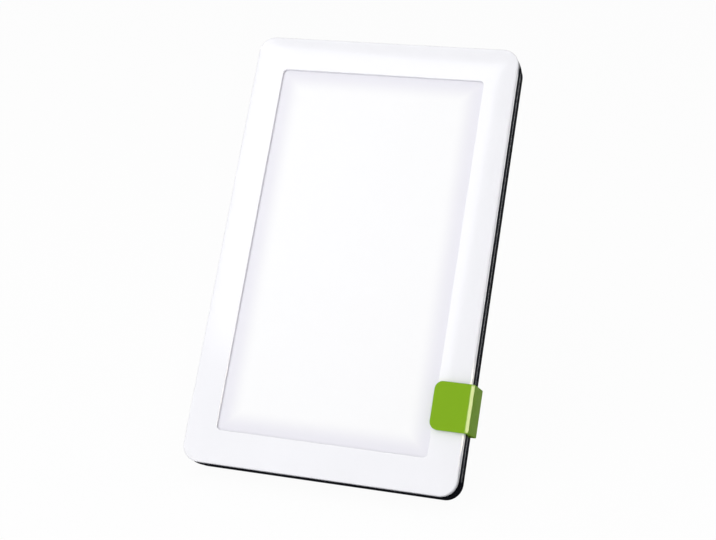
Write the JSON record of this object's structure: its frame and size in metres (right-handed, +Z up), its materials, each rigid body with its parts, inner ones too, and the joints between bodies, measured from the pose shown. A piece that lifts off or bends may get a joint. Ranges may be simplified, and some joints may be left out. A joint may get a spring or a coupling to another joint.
{
  "type": "light therapy lamp",
  "caption": "Slim tablet-shaped light therapy lamp with a white frame, dark rim and opal screen, leaning back on a green clip-on stand with a fold-out leg.",
  "frame": {"origin": "on the table, under the middle of the standing lamp's outer box", "axes": "+Z up, the screen faces -Y and leans back by 34.3 degrees, +X to the right seen from the front"},
  "size_m": [0.159, 0.1602, 0.2222],
  "materials": {
    "white_abs": "glossy moulded ABS",
    "dark_abs": "glossy moulded ABS, blue-black",
    "green_abs": "glossy moulded ABS, leaf green",
    "opal_acrylic": "opal cast acrylic",
    "clear_acrylic": "clear cast acrylic, dotted on its back",
    "white_film": "matt reflector film",
    "led_board": "white solder mask",
    "tray_aluminium": "plain folded sheet",
    "circuit_board": "green solder mask",
    "black_nylon": "matt moulded nylon",
    "black_rubber": "matt rubber",
    "lead_white": "PVC sleeve",
    "screw_steel": "zinc-plated steel"
  },
  "bodies": {
    "lamp": {"front_bezel": "white_abs", "diffuser": "opal_acrylic", "light_guide": "clear_acrylic", "reflector_sheet": "white_film", "led_strip_left": "led_board", "led_strip_right": "led_board", "heat_spreader": "tray_aluminium", "controller_board": "circuit_board", "dc_inlet": "black_nylon", "push_switch": "black_nylon", "lead_plug": "lead_white", "led_lead_left": "lead_white", "led_lead_right": "lead_white", "back_cover": "dark_abs", "housing_screw_1": "screw_steel", "housing_screw_2": "screw_steel", "housing_screw_3": "screw_steel", "housing_screw_4": "screw_steel", "housing_screw_5": "screw_steel", "housing_screw_6": "screw_steel", "tray_screw_1": "screw_steel", "tray_screw_2": "screw_steel", "tray_screw_3": "screw_steel", "tray_screw_4": "screw_steel", "board_screw_1": "screw_steel", "board_screw_2": "screw_steel", "rubber_foot_left": "black_rubber", "rubber_foot_right": "black_rubber"},
    "button": {"power_button": "dark_abs", "switch_plunger": "black_nylon"},
    "stand": {"stand_bracket": "green_abs", "clip_pad": "black_rubber", "hinge_pin": "screw_steel", "hinge_washer_left": "black_nylon", "hinge_washer_right": "black_nylon"},
    "leg": {"stand_leg": "green_abs", "leg_sole": "black_rubber"}
  },
  "joints": [
    {"name": "button_press", "type": "slide", "parent": "lamp", "child": "button", "axis": [0, -0.8257, 0.5641], "range_m": [0, 0.0008], "stiffness_N_per_m": 1500, "springref_m": -0.0008},
    {"name": "stand_slide", "type": "slide", "parent": "lamp", "child": "stand", "axis": [1, 0, 0], "range_m": [0, 0.105]},
    {"name": "leg_fold", "type": "hinge", "parent": "stand", "child": "leg", "pos_m": [-0.00115, 0.0029, 0.08474], "axis": [-1, 0, 0], "range_deg": [0, 59.99]}
  ]
}
